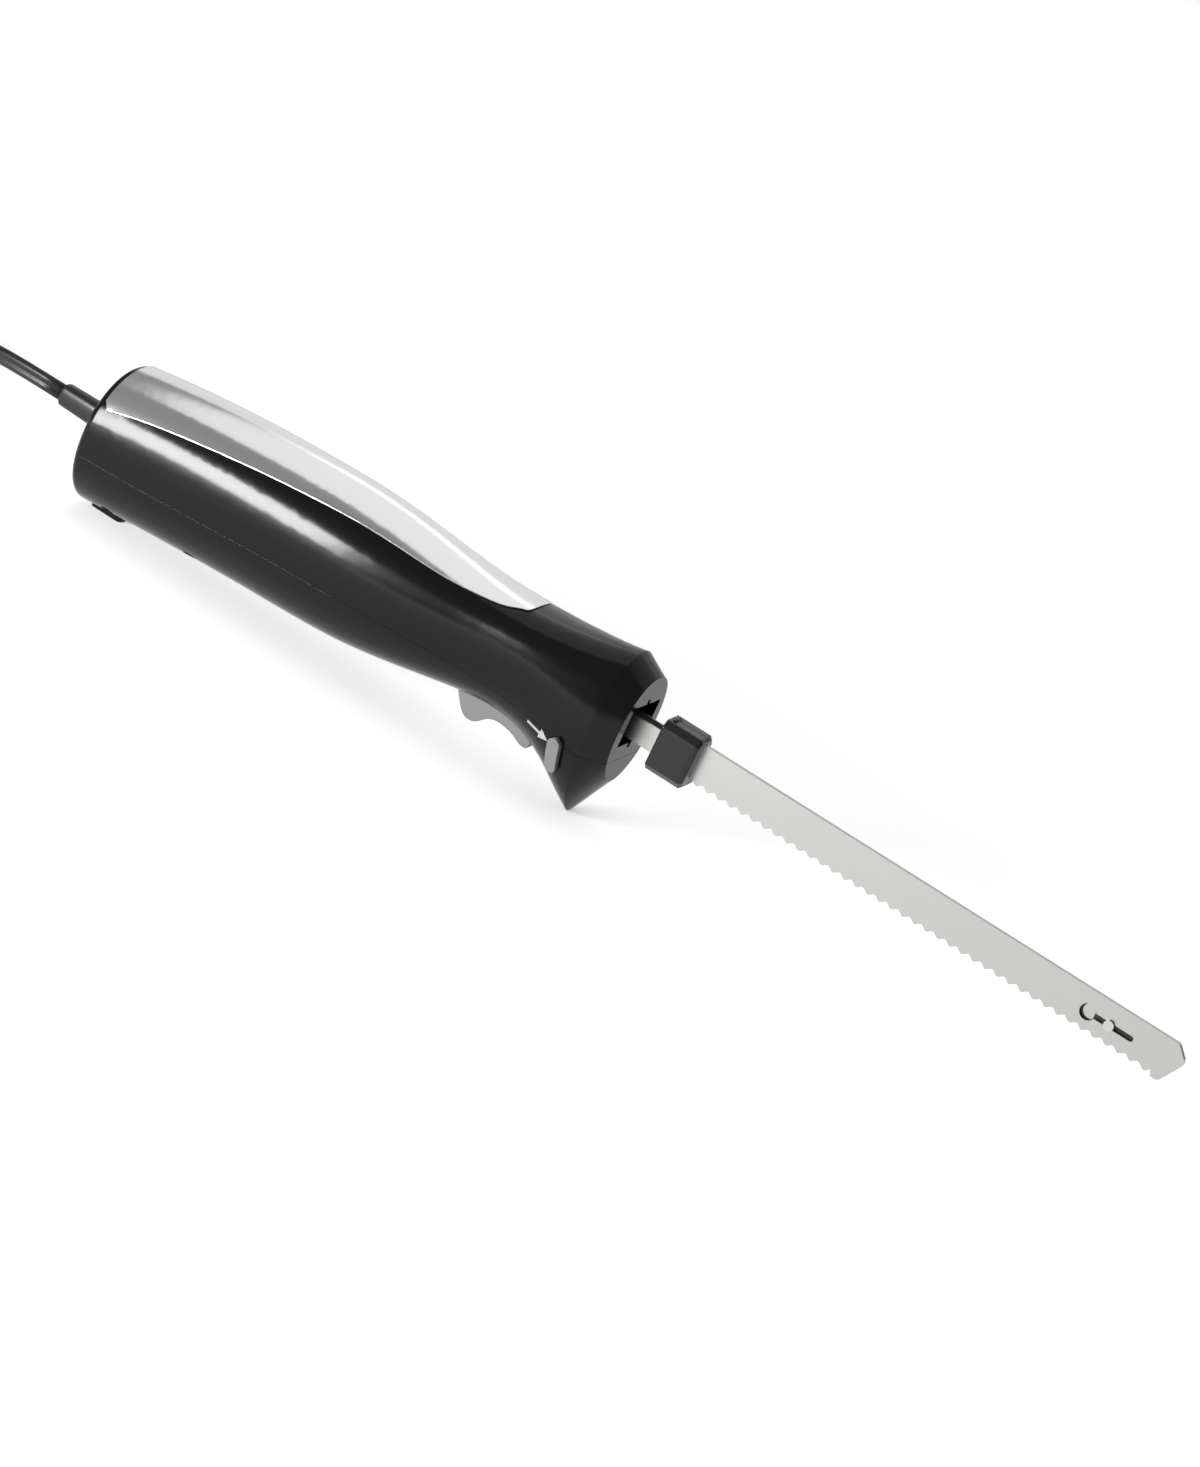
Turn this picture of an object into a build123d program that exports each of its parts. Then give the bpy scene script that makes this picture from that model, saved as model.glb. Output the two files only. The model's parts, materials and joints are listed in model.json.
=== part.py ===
# Electric carving knife: a corded handle that drives two blades side by side.
# Millimetres. +X runs along the blades to their tips, +Z is up, +Y is the left side.
# The origin is midway between the rear of the handle and the blade tips, on the
# surface that the heel pad and the finger guard's tip stand on.
from build123d import *
import math
import os

os.makedirs("parts", exist_ok=True)

# Overall sizes
total_length = 480.5
handle_length = 246.3
body_height = 70.0
body_width = 51.2
blade_line_height = 42.9
wall = 2.4
nose_wall = 2.6
overrun = 12.0
running_gap = 0.3
seat_gap = 0.1

rear_x = -total_length / 2
tip_x = total_length / 2
nose_x = rear_x + handle_length

# Handle sections from the rear to the nose, as shares of the sizes above
station_shares = (1.000, 0.809, 0.667, 0.562, 0.469, 0.372, 0.291, 0.202, 0.150, 0.105, 0.073, 0.040)
top_shares = (0.855, 0.935, 0.966, 0.976, 0.964, 0.928, 0.904, 0.908, 0.927, 0.949, 0.970, 0.991)
bottom_shares = (0.014, 0.066, 0.094, 0.109, 0.137, 0.197, 0.254, 0.286, 0.250, 0.164, 0.079, -0.009)
width_shares = (0.984, 0.996, 1.000, 0.996, 0.969, 0.910, 0.850, 0.820, 0.820, 0.820, 0.815, 0.805)
top_roundness = (2.1, 2.1, 2.1, 2.1, 2.15, 2.3, 2.6, 2.8, 2.6, 2.4, 2.3, 2.2)
bottom_roundness = (2.1, 2.1, 2.1, 2.1, 2.1, 2.1, 2.1, 2.1, 2.0, 1.9, 1.8, 1.7)
section_points = 24
loft_sections = 16
nose_top_share = 0.911
nose_bottom_share = 0.269
nose_width_share = 0.645
nose_top_roundness = 2.2
nose_bottom_roundness = 1.9
rear_round = 3.0

# Chrome trim let into the top of the handle
trim_proud = 0.5
trim_depth = 0.9
trim_gap = 0.12
trim_rear_margin = 3.4
trim_corner = 3.0
trim_edge_x_shares = (0.986, 0.914, 0.805, 0.687, 0.590, 0.505, 0.416, 0.344, 0.283, 0.243, 0.2275, 0.2185, 0.2165)
trim_edge_z_shares = (0.650, 0.700, 0.763, 0.814, 0.843, 0.857, 0.850, 0.844, 0.857, 0.8785, 0.8925, 0.901, 0.930)

# Seam between the upper and the lower shell
seam_gap = 0.15
seam_x_shares = (1.10, 1.00, 0.81, 0.61, 0.45, 0.26, 0.12, 0.04, -0.04, -0.10)
seam_z_shares = (0.33, 0.345, 0.38, 0.43, 0.45, 0.465, 0.43, 0.405, 0.44, 0.44)

# Heel pad under the rear
pad_length = 15.0
pad_half_width = 4.0
pad_height = 6.0
pad_round = 2.0
pad_margin = 4.0

# Blades
blade_thickness = 1.0
blade_height = 16.2
blade_gap = 0.2
tip_corner_back = 4.8
tip_corner_round = 1.8
tip_nose_out = 0.5
tip_nose_drop = 5.4
tip_nose_round = 3.0
tip_foot_back = 5.3
tip_foot_round = 2.4
tooth_pitch = 5.1
tooth_depth = 1.4
tooth_rise = 0.9
smooth_heel = 4.0
smooth_tip = 9.5
tang_height = 9.4
tang_offset = 3.0
tang_insert = 30.0
collar_start = 11.0
collar_length = 16.0
collar_height = 21.0
collar_thickness = 7.0
collar_bevel = 2.5
collar_nub = 2.0

# Rivet and keyhole near the tips
rivet_from_tip = 29.3
rivet_radius = 0.8
rivet_head_radius = 2.0
rivet_head_thickness = 0.8
keyhole_radius = 3.2
keyhole_slot_half = 1.1

# Drive: armature, worm, gear, eccentrics and shuttles
crank_radius = 4.25
gear_ratio = 20
drive_drop = 14.0
gear_from_nose = 72.0
gear_root_radius = 9.2
gear_outer_radius = 10.3
gear_thickness = 7.0
axle_radius = 1.6
eccentric_radius = 6.2
eccentric_thickness = 3.4
yoke_play = 1.1
yoke_rim = 2.6
yoke_top_play = 0.6
shuttle_thickness = 3.0
shuttle_bar_height = 10.0
shuttle_head_length = 40.0
shuttle_head_height = 13.0
shuttle_head_outer = 7.1
shuttle_from_nose = 5.5
socket_gap = 0.3
latch_thickness = 0.6
latch_length = 18.0
latch_post = 2.4
latch_from_nose = 18.6
latch_height = 5.0
worm_radius = 3.4
worm_core_radius = 2.4
worm_length = 18.0
worm_ridge_pitch = 2.4
worm_ridge_thickness = 1.1
shaft_radius = 2.0
frame_thickness = 2.0
frame_inner = 10.2
frame_front_from_nose = 25.0
frame_above = 11.0
frame_below = 15.5
guide_top_length = 20.0
guide_low_length = 32.0
front_bearing_from_gear = 19.5
bush_radius = 3.4

# Motor
core_from_nose = 133.0
core_length = 38.0
core_radius = 16.0
core_half_height = 14.5
core_bore = 10.6
coil_inner = 11.4
coil_outer = 13.6
coil_overhang = 5.0
coil_low = 5.0
pole_half = 4.5
armature_radius = 10.1
armature_slots = 8
slot_half = 1.1
slot_depth = 3.6
winding_end_radius = 9.2
winding_end_length = 6.0
commutator_radius = 7.0
commutator_length = 11.0
commutator_bars = 12
bar_cut = 0.5
bar_cut_depth = 0.8
fan_radius = 12.0
fan_hub_radius = 4.0
fan_thickness = 1.2
fan_blade_length = 6.0
fan_blades = 9
fan_blade_thickness = 1.1
bearing_radius = 6.0
bearing_thickness = 5.0
brush_width = 4.6
brush_height = 5.6
brush_length = 7.0
brush_gap = 0.2
holder_wall = 0.9
holder_length = 12.0
rib_thickness = 2.6
motor_step = 3.0
rear_bearing_step = 9.5
shaft_end = 1.0
bush_play = 0.05
rib_inset = 3.0

# Trigger, switch and release buttons
trigger_half_width = 5.6
trigger_pivot_from_nose = 38.0
trigger_pivot_height = 24.4
trigger_pin_radius = 1.25
trigger_boss_radius = 2.8
trigger_x_shares = (1.000, 0.909, 0.806, 0.683, 0.566, 0.466, 0.343, 0.206, 0.091, 0.020, 0.000)
trigger_z_shares = (0.760, 0.300, 0.000, 0.030, 0.370, 0.505, 0.495, 0.380, 0.220, 0.240, 0.360)
trigger_length = 35.0
trigger_front_from_nose = 33.3
trigger_low = 11.1
trigger_top = 21.4
trigger_lip = 1.2
trigger_lip_length = 3.0
trigger_rear_gap = 1.6
lug_thickness = 2.5
lug_height = 3.0
trigger_spring_radius = 2.2
trigger_spring_from_nose = 46.0
trigger_gap = 0.4
switch_length = 15.0
switch_half_width = 5.0
switch_height = 7.4
switch_from_nose = 42.0
switch_gap = 0.1
plunger_half = 1.6
plunger_length = 7.0
plunger_from_nose = 54.0
plunger_room = 2.0
release_from_nose = 18.6
release_height = 22.9
release_half_height = 7.4
release_half_width = 2.7
release_proud = 2.2
release_flange = 0.8
release_flange_thickness = 1.2
release_inner_y = 9.0
release_arm_half = 1.5
release_arm_top = 44.0
release_finger = 2.7
release_finger_half = 1.0
release_tilt = 6.0
release_post_half = 1.5
release_post_top = 27.5
release_spring_radius = 2.6
spring_wall = 0.8

# Cord, its strain relief, tied hank and plug
cord_diameter = 7.0
cord_height = 32.3
relief_length = 27.0
relief_height = 10.6
relief_width = 8.6
relief_end_height = 9.4
relief_end_width = 7.4
relief_flange = 2.2
relief_round = 2.2
groove_shares = (0.27, 0.45, 0.63)
groove_width = 1.4
groove_depth = 0.8
corner_share = 0.45
hank_pitch = 7.75
hank_outer = 31.5
hank_run = 56.0
hank_tail = 40.0
hank_lift = 1.0
hank_places = ((0, 0), (0, 0), (1, 0), (1, 1), (0, 1), (0, 2), (1, 2))
samples_per_edge = 24
gap_from = 21.0
tie_width = 5.0
tie_thickness = 0.8
tie_gap = 0.15
tie_side_gap = 0.9
plug_length = 34.0
plug_width = 24.0
plug_thickness = 16.0
plug_rest = 0.2
plug_nose_length = 12.0
plug_round = 3.0
prong_length = 17.0
prong_height = 6.3
prong_thickness = 1.5
prong_spacing = 12.7
prong_seat = 4.0
clamp_half_width = 9.0
clamp_half_height = 7.0
clamp_thickness = 3.0
clamp_bore = 3.6

# Screws
screw_radius = 1.6
screw_head_radius = 2.9
screw_head_height = 2.0
screw_length = 16.0
screw_seat_height = 16.0
boss_radius = 4.0
screw_socket_radius = 0.9
screw_socket_depth = 1.2
screw_places_from_nose = (190.0, 230.0)
screw_side = 11.0

# Suppression capacitor and lead wires
capacitor_length = 18.0
capacitor_width = 8.0
capacitor_height = 12.0
capacitor_from_nose = 208.0
capacitor_seat = 12.0
lead_radius = 0.9
lead_spacing = 2.6
lead_bend = 4.0
lead_step = 9.0

# Opening in the nose
mouth_half_width = 11.0
mouth_low = 35.8
mouth_high = 52.5
mouth_notch = 2.0
mouth_notch_half = 1.2

# Places worked out from the sizes above
drive_x = nose_x - gear_from_nose
drive_z = blade_line_height
motor_z = blade_line_height - drive_drop
tang_back = nose_x - tang_insert
latch_x = nose_x - latch_from_nose
keyhole_reach = 2 * crank_radius + running_gap
yoke_half_width = eccentric_radius + yoke_play
yoke_half_height = eccentric_radius + crank_radius + yoke_top_play
core_x = nose_x - core_from_nose
front_bearing_x = drive_x - front_bearing_from_gear
commutator_rear_x = core_x - core_length / 2 - winding_end_length - commutator_length
brush_x = commutator_rear_x + commutator_length / 2
rear_bearing_x = commutator_rear_x - rear_bearing_step
trigger_front_x = nose_x - trigger_front_from_nose
trigger_pivot_x = nose_x - trigger_pivot_from_nose
pad_top = trigger_top + trigger_lip
shelf_top = drive_z - shuttle_head_height / 2 - running_gap
shelf_low = shelf_top - frame_thickness
switch_top = shelf_low - switch_gap
switch_bottom = switch_top - switch_height
plunger_x = nose_x - plunger_from_nose
plunger_foot = pad_top + running_gap
release_x = nose_x - release_from_nose
relief_end_x = rear_x - relief_length


def block(x0, x1, y0, y1, z0, z1):
    """A box between two corners."""
    size = (abs(x1 - x0), abs(y1 - y0), abs(z1 - z0))
    middle = ((x0 + x1) / 2, (y0 + y1) / 2, (z0 + z1) / 2)
    return Pos(*middle) * Box(*size)


def common(a, b):
    """What two shapes share, as one shape."""
    shared = a.intersect(b)
    solids = ShapeList(shared).solids() if isinstance(shared, (list, tuple)) else shared.solids()
    return solids[0] if len(solids) == 1 else Compound(children=list(solids))


def rod_x(radius, x0, x1, y=0, z=0):
    return Pos((x0 + x1) / 2, y, z) * Rot(0, 90, 0) * Cylinder(radius, abs(x1 - x0))


def rod_y(radius, y0, y1, x=0, z=0):
    return Pos(x, (y0 + y1) / 2, z) * Rot(90, 0, 0) * Cylinder(radius, abs(y1 - y0))


def rod_z(radius, z0, z1, x=0, y=0):
    return Pos(x, y, (z0 + z1) / 2) * Cylinder(radius, abs(z1 - z0))


def side_plate(points, half_width, smooth=0):
    """A plate cut to an outline in the X-Z plane, spread to both sides of the middle."""
    if smooth:
        curve = Spline(*[(x, 0, z) for x, z in points[:smooth]])
        rest = [points[smooth - 1]] + list(points[smooth:]) + [points[0]]
        edges = [curve] + [Line((a[0], 0, a[1]), (b[0], 0, b[1])) for a, b in zip(rest, rest[1:])]
        face = make_face(edges)
    else:
        face = make_face(Polyline(*[(x, 0, z) for x, z in points], close=True))
    return extrude(face, amount=half_width, dir=(0, 1, 0), both=True)


def section(x, top, bottom, half_width, round_top, round_bottom):
    """One closed section of the handle: an ellipse with its own squareness above and below."""
    middle = (top + bottom) / 2
    reach = (top - bottom) / 2
    points = []
    for i in range(section_points):
        turn = 2 * math.pi * (i + 0.5) / section_points
        power = 2 / (round_top if math.sin(turn) > 0 else round_bottom)
        y = math.copysign(abs(math.cos(turn)) ** power, math.cos(turn)) * half_width
        z = math.copysign(abs(math.sin(turn)) ** power, math.sin(turn)) * reach
        points.append((x, y, middle + z))
    return Wire([Spline(*points, periodic=True)])


def value_at(share, values):
    """A driving value between the stations, on a smooth curve through them."""
    steps = [b - a for a, b in zip(station_shares, station_shares[1:])]
    rates = [(b - a) / step for a, b, step in zip(values, values[1:], steps)]
    pairs = zip(rates, rates[1:], steps, steps[1:])
    inner = [(r0 * s1 + r1 * s0) / (s0 + s1) for r0, r1, s0, s1 in pairs]
    slopes = [2 * rates[0] - inner[0]] + inner + [2 * rates[-1] - inner[-1]]
    i = max(k for k in range(len(steps)) if k == 0 or share <= station_shares[k])
    t = (share - station_shares[i]) / steps[i]
    start = values[i] * (1 + 2 * t) * (1 - t) ** 2 + slopes[i] * steps[i] * t * (1 - t) ** 2
    end = values[i + 1] * (3 - 2 * t) * t ** 2 - slopes[i + 1] * steps[i] * (1 - t) * t ** 2
    return start + end


def handle_wires(inset, rear_inset):
    """Evenly spaced sections, so that the skin over them doesn't ripple."""
    wires = []
    reach = station_shares[0] - station_shares[-1]
    for i in range(loft_sections):
        share = station_shares[0] - reach * i / (loft_sections - 1)
        x = nose_x - share * handle_length
        if i == 0:
            x = x + rear_inset
        wires.append(section(
            x,
            value_at(share, top_shares) * body_height - inset,
            value_at(share, bottom_shares) * body_height + inset,
            value_at(share, width_shares) * body_width / 2 - inset,
            value_at(share, top_roundness),
            value_at(share, bottom_roundness)))
    return wires


def handle_form(inset, rear_inset=0, front_inset=0):
    """The handle's outer form, drawn in by inset all round."""
    wires = handle_wires(inset, rear_inset)
    body = Solid.make_loft(wires, False)
    face = section(
        nose_x - front_inset,
        nose_top_share * body_height - inset,
        nose_bottom_share * body_height + inset,
        nose_width_share * body_width / 2 - inset,
        nose_top_roundness,
        nose_bottom_roundness)
    nose = Solid.make_loft([wires[-1], face], True)
    return body.fuse(nose)


def write(name, shape):
    solids = shape.solids() if hasattr(shape, "solids") else [s for part in shape for s in part.solids()]
    export_step(Compound(children=list(solids)) if len(solids) > 1 else solids[0], f"parts/{name}.step")
    return shape


def curve_points(x_shares, z_shares, drop=0, back=0):
    return [(nose_x - a * handle_length - back, b * body_height - drop) for a, b in zip(x_shares, z_shares)]


def region_below_seam(lower_by):
    seam = curve_points(seam_x_shares, seam_z_shares, lower_by)
    low = -overrun
    points = seam + [(seam[-1][0], low), (seam[0][0], low)]
    return side_plate(points, body_width, smooth=len(seam))


def region_above_trim(grow):
    edge = curve_points(trim_edge_x_shares, trim_edge_z_shares, grow)
    rear = rear_x + trim_rear_margin - grow
    edge[0] = (rear + trim_corner, edge[0][1])
    edge[-1] = (edge[-1][0] + grow, edge[-1][1])
    high = body_height + overrun
    points = edge + [(edge[-1][0], high), (rear, high), (rear, edge[0][1] + trim_corner)]
    return side_plate(points, body_width, smooth=len(edge))


def blade_sheet(start, tip, side):
    """A blade cut to its outline: straight back, wavy edge and a blunt tip cut back above and below."""
    top = blade_line_height + blade_height / 2
    low = top - blade_height
    first = start + smooth_heel
    last = tip - smooth_tip
    waves = round((last - first) / tooth_pitch)
    half_wave = (last - first) / (2 * waves)
    edge = []
    for i in range(2 * waves + 1):
        rise = tooth_rise + (tooth_depth if i % 2 == 0 else 0)
        edge.append((first + i * half_wave, 0, low + rise))
    nose = (tip + tip_nose_out, 0, top - tip_nose_drop)
    outline = [
        edge[-1],
        (last + half_wave / 2, 0, low),
        (tip - tip_foot_back, 0, low),
        nose,
        (tip - tip_corner_back, 0, top),
        (start, 0, top),
        (start, 0, low + tooth_rise),
        (first - half_wave / 2, 0, low + tooth_rise),
        edge[0]]
    face = make_face([Spline(*edge), Polyline(*outline)])
    sheet = extrude(face, amount=blade_thickness, dir=(0, side, 0))
    for corner, radius in (
            (outline[2], tip_foot_round),
            (nose, tip_nose_round),
            (outline[4], tip_corner_round)):
        across = [
            e for e in sheet.edges().filter_by(Axis.Y)
            if abs(e.center().X - corner[0]) + abs(e.center().Z - corner[2]) < seat_gap]
        sheet = fillet(across, radius)
    return sheet


def make_blade(side):
    """Blade, its joggle inside the guard and its tang, as one bent sheet."""
    start = nose_x + collar_start + collar_length / 2
    inner = side * blade_gap / 2
    sheet = Pos(0, inner, 0) * blade_sheet(start, tip_x, side)
    tang_low = blade_line_height - tang_height / 2
    tang_in = side * (tang_offset - blade_thickness / 2)
    tang_out = side * (tang_offset + blade_thickness / 2)
    tang = block(tang_back, start, tang_in, tang_out, tang_low, tang_low + tang_height)
    step = block(start, start + blade_thickness, inner, tang_out, tang_low, tang_low + tang_height)
    sheet = sheet.fuse(tang, step)
    rivet_x = tip_x - rivet_from_tip
    if side < 0:
        ring = rod_y(keyhole_radius, -overrun, overrun, rivet_x - keyhole_reach, blade_line_height)
        slot = block(
            rivet_x - keyhole_reach,
            rivet_x + keyhole_reach,
            -overrun,
            overrun,
            blade_line_height - keyhole_slot_half,
            blade_line_height + keyhole_slot_half)
        end = rod_y(keyhole_slot_half, -overrun, overrun, rivet_x + keyhole_reach, blade_line_height)
        sheet = sheet.cut(ring, slot, end)
    else:
        sheet = sheet.cut(rod_y(rivet_radius, -overrun, overrun, rivet_x, blade_line_height))
    return sheet


def make_collar(side, sheet):
    """Half of the finger guard, moulded round its blade."""
    x0 = nose_x + collar_start
    x1 = x0 + collar_length
    low = blade_line_height - collar_height / 2
    inner = side * blade_gap / 2
    outer_y = side * collar_thickness
    half = block(x0, x1, inner, outer_y, low, low + collar_height)
    long_edges = [e for e in half.edges().filter_by(Axis.X) if abs(e.center().Y) > collar_thickness / 2]
    half = chamfer(long_edges, collar_bevel)
    front = [e for e in half.faces().sort_by(Axis.X)[-1].edges() if abs(e.center().Y) > collar_thickness / 4]
    half = chamfer(front, collar_bevel / 2)
    nub = rod_y(collar_nub / 2, inner, side * collar_nub, x0 + collar_nub, low + collar_height)
    return half.fuse(nub).cut(sheet)


def make_rivet():
    """Shank through both blades, a head outside the slotted one and a small one outside the other."""
    x = tip_x - rivet_from_tip
    outside = blade_gap / 2 + blade_thickness
    shank = rod_y(rivet_radius, -outside - running_gap, outside, x, blade_line_height)
    head = rod_y(
        rivet_head_radius,
        -outside - running_gap - rivet_head_thickness,
        -outside - running_gap,
        x,
        blade_line_height)
    tail = rod_y(rivet_head_radius, outside, outside + rivet_head_thickness / 2, x, blade_line_height)
    return shank.fuse(head, tail)


def make_shuttle(side):
    """A sliding carrier: yoke round its eccentric, bar, and the head that grips a tang."""
    y0 = side * (gear_thickness / 2 + running_gap)
    y1 = y0 + side * shuttle_thickness
    yoke = block(
        drive_x - yoke_half_width - yoke_rim,
        drive_x + yoke_half_width + yoke_rim,
        y0,
        y1,
        drive_z - yoke_half_height - yoke_rim,
        drive_z + yoke_half_height + yoke_rim)
    window = block(
        drive_x - yoke_half_width,
        drive_x + yoke_half_width,
        -overrun,
        overrun,
        drive_z - yoke_half_height,
        drive_z + yoke_half_height)
    front = nose_x - shuttle_from_nose
    back = front - shuttle_head_length
    bar = block(
        drive_x + yoke_half_width,
        back + overrun,
        y0,
        y1,
        drive_z - shuttle_bar_height / 2,
        drive_z + shuttle_bar_height / 2)
    head = block(
        back,
        front,
        side * running_gap,
        side * shuttle_head_outer,
        drive_z - shuttle_head_height / 2,
        drive_z + shuttle_head_height / 2)
    socket = block(
        tang_back - socket_gap,
        front + overrun,
        side * (tang_offset - blade_thickness / 2 - socket_gap),
        side * (tang_offset + blade_thickness / 2 + socket_gap),
        drive_z - tang_height / 2 - socket_gap,
        drive_z + tang_height / 2 + socket_gap)
    pocket = block(
        latch_x - latch_length / 2 - seat_gap,
        latch_x + latch_length / 2 + seat_gap,
        side * (tang_offset + blade_thickness / 2 + socket_gap),
        side * (shuttle_head_outer + overrun),
        drive_z - latch_height / 2 - seat_gap,
        drive_z + latch_height / 2 + seat_gap)
    return yoke.cut(window).fuse(bar, head).cut(socket, pocket)


def make_latch(side):
    """Leaf catch in the shuttle's pocket, which the release button lifts off the tang."""
    y0 = side * (tang_offset + blade_thickness / 2 + socket_gap)
    leaf = block(
        latch_x - latch_length / 2,
        latch_x + latch_length / 2,
        y0,
        y0 + side * latch_thickness,
        drive_z - latch_height / 2,
        drive_z + latch_height / 2)
    post = block(
        latch_x - latch_length / 2,
        latch_x - latch_length / 2 + latch_post,
        y0,
        side * shuttle_head_outer,
        drive_z - latch_height / 2,
        drive_z + latch_height / 2)
    return leaf.fuse(post)


def make_gear():
    """Worm wheel: a rim with square teeth and a bored hub."""
    half = gear_thickness / 2
    wheel = rod_y(gear_root_radius, -half, half, drive_x, drive_z)
    tooth_width = math.pi * gear_root_radius / gear_ratio
    depth = gear_outer_radius - gear_root_radius
    teeth = []
    for i in range(gear_ratio):
        angle = 360 * (i + 0.5) / gear_ratio
        tooth = Pos(gear_root_radius, 0, 0) * Box(2 * depth, gear_thickness, tooth_width)
        teeth.append(Pos(drive_x, 0, drive_z) * Rot(0, angle, 0) * tooth)
    bore = rod_y(axle_radius, -half, half, drive_x, drive_z)
    return wheel.fuse(*teeth).cut(bore)


def make_eccentric(side):
    """Round cam on the gear's face, set off its axle by the crank radius."""
    y0 = side * gear_thickness / 2
    y1 = y0 + side * eccentric_thickness
    cam = rod_y(eccentric_radius, y0, y1, drive_x, drive_z + side * crank_radius)
    return cam.cut(rod_y(axle_radius, y0, y1, drive_x, drive_z))


def make_frame():
    """Gearbox frame: two side plates on a rear web that seats the shaft's front bearing."""
    rear = front_bearing_x - bearing_thickness / 2
    web_front = rear + bearing_thickness
    front = nose_x - frame_front_from_nose
    outer_y = frame_inner + frame_thickness
    low = drive_z - frame_below
    high = drive_z + frame_above
    web = block(rear, web_front, -outer_y, outer_y, motor_z - bearing_radius - frame_thickness, high)
    plates = [block(rear, front, side * frame_inner, side * outer_y, low, high) for side in (-1, 1)]
    shelf = block(front - guide_low_length, front, -frame_inner, frame_inner, shelf_low, shelf_top)
    roof_low = shelf_top + shuttle_head_height + 2 * running_gap
    roof_top = roof_low + frame_thickness
    roof = block(front - guide_top_length, front, -frame_inner, frame_inner, roof_low, roof_top)
    bearing_seat = rod_x(bearing_radius, rear - overrun, web_front + overrun, 0, motor_z)
    bush_bore = rod_y(bush_radius, -body_width, body_width, drive_x, drive_z)
    return web.fuse(*plates, shelf, roof).cut(bearing_seat, bush_bore)


def make_bushes():
    bushes = []
    for side in (-1, 1):
        y0 = side * frame_inner
        y1 = side * (frame_inner + frame_thickness)
        ring = rod_y(bush_radius, y0, y1, drive_x, drive_z)
        bushes.append(ring.cut(rod_y(axle_radius + bush_play, y0, y1, drive_x, drive_z)))
    return bushes


def make_worm():
    x0 = drive_x - worm_length / 2
    worm = rod_x(worm_core_radius, x0, x0 + worm_length, 0, motor_z)
    ridges = []
    for i in range(int(worm_length / worm_ridge_pitch)):
        start = x0 + i * worm_ridge_pitch
        ridges.append(rod_x(worm_radius, start, start + worm_ridge_thickness, 0, motor_z))
    bore = rod_x(shaft_radius, x0 - overrun, x0 + worm_length + overrun, 0, motor_z)
    return worm.fuse(*ridges).cut(bore)


def make_field_core():
    x0 = core_x - core_length / 2
    x1 = core_x + core_length / 2
    core = rod_x(core_radius, x0, x1, 0, motor_z)
    z0 = motor_z - core_half_height
    z1 = motor_z + core_half_height
    core = common(core, block(x0, x1, -body_width, body_width, z0, z1))
    core = core.cut(rod_x(core_bore, x0, x1, 0, motor_z))
    return core.cut(coil_ring(x0, x1, 0))


def coil_ring(x0, x1, pole_gap):
    """Both field coils between two planes, with the poles left out of them."""
    ring = rod_x(coil_outer, x0, x1, 0, motor_z).cut(rod_x(coil_inner, x0, x1, 0, motor_z))
    middle = block(x0, x1, -body_width, body_width, motor_z - coil_low, motor_z + coil_low)
    pole = block(x0, x1, -pole_half, pole_half, motor_z - body_height, motor_z + body_height)
    return ring.cut(middle, pole)


def make_field_coils():
    """Two coils that lie in the core's slots and turn round its poles past both ends."""
    x0 = core_x - core_length / 2
    x1 = core_x + core_length / 2
    coils = coil_ring(x0, x1, 0)
    for end, way in ((x0, -1), (x1, 1)):
        ring = rod_x(coil_outer, end, end + way * coil_overhang, 0, motor_z)
        ring = ring.cut(rod_x(coil_inner, end, end + way * coil_overhang, 0, motor_z))
        far = end + way * coil_overhang
        middle = block(end, far, -body_width, body_width, motor_z - coil_low, motor_z + coil_low)
        coils = coils.fuse(*ring.cut(middle).solids())
    return coils


def slot_boxes(x0, x1):
    boxes = []
    for i in range(armature_slots):
        low = armature_radius - slot_depth
        box = Pos((x0 + x1) / 2, 0, (low + armature_radius) / 2) * Box(x1 - x0, 2 * slot_half, slot_depth)
        boxes.append(Pos(0, 0, motor_z) * Rot(360 * i / armature_slots, 0, 0) * box)
    return boxes


def make_armature_core():
    x0 = core_x - core_length / 2
    x1 = core_x + core_length / 2
    core = rod_x(armature_radius, x0, x1, 0, motor_z)
    return core.cut(rod_x(shaft_radius, x0, x1, 0, motor_z), *slot_boxes(x0, x1))


def make_winding():
    """Copper in the armature's slots with a bulged head past each end."""
    x0 = core_x - core_length / 2
    x1 = core_x + core_length / 2
    heads = []
    for end, way in ((x0, -1), (x1, 1)):
        head = rod_x(winding_end_radius, end, end + way * winding_end_length, 0, motor_z)
        rim = head.faces().sort_by(Axis.X)[0 if way < 0 else -1].edges()
        head = fillet(rim, winding_end_length / 3)
        heads.append(head.cut(rod_x(shaft_radius, end, end + way * winding_end_length, 0, motor_z)))
    bars = slot_boxes(x0, x1)
    limit = rod_x(armature_radius - seat_gap, x0, x1, 0, motor_z)
    bars = [common(bar, limit) for bar in bars]
    return heads[0].fuse(heads[1], *bars)


def make_commutator():
    x0 = commutator_rear_x
    x1 = x0 + commutator_length
    drum = rod_x(commutator_radius, x0, x1, 0, motor_z)
    cuts = []
    for i in range(commutator_bars):
        cut = Pos((x0 + x1) / 2, 0, commutator_radius) * Box(commutator_length, bar_cut, 2 * bar_cut_depth)
        cuts.append(Pos(0, 0, motor_z) * Rot(360 * (i + 0.5) / commutator_bars, 0, 0) * cut)
    return drum.cut(rod_x(shaft_radius, x0, x1, 0, motor_z), *cuts)


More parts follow.
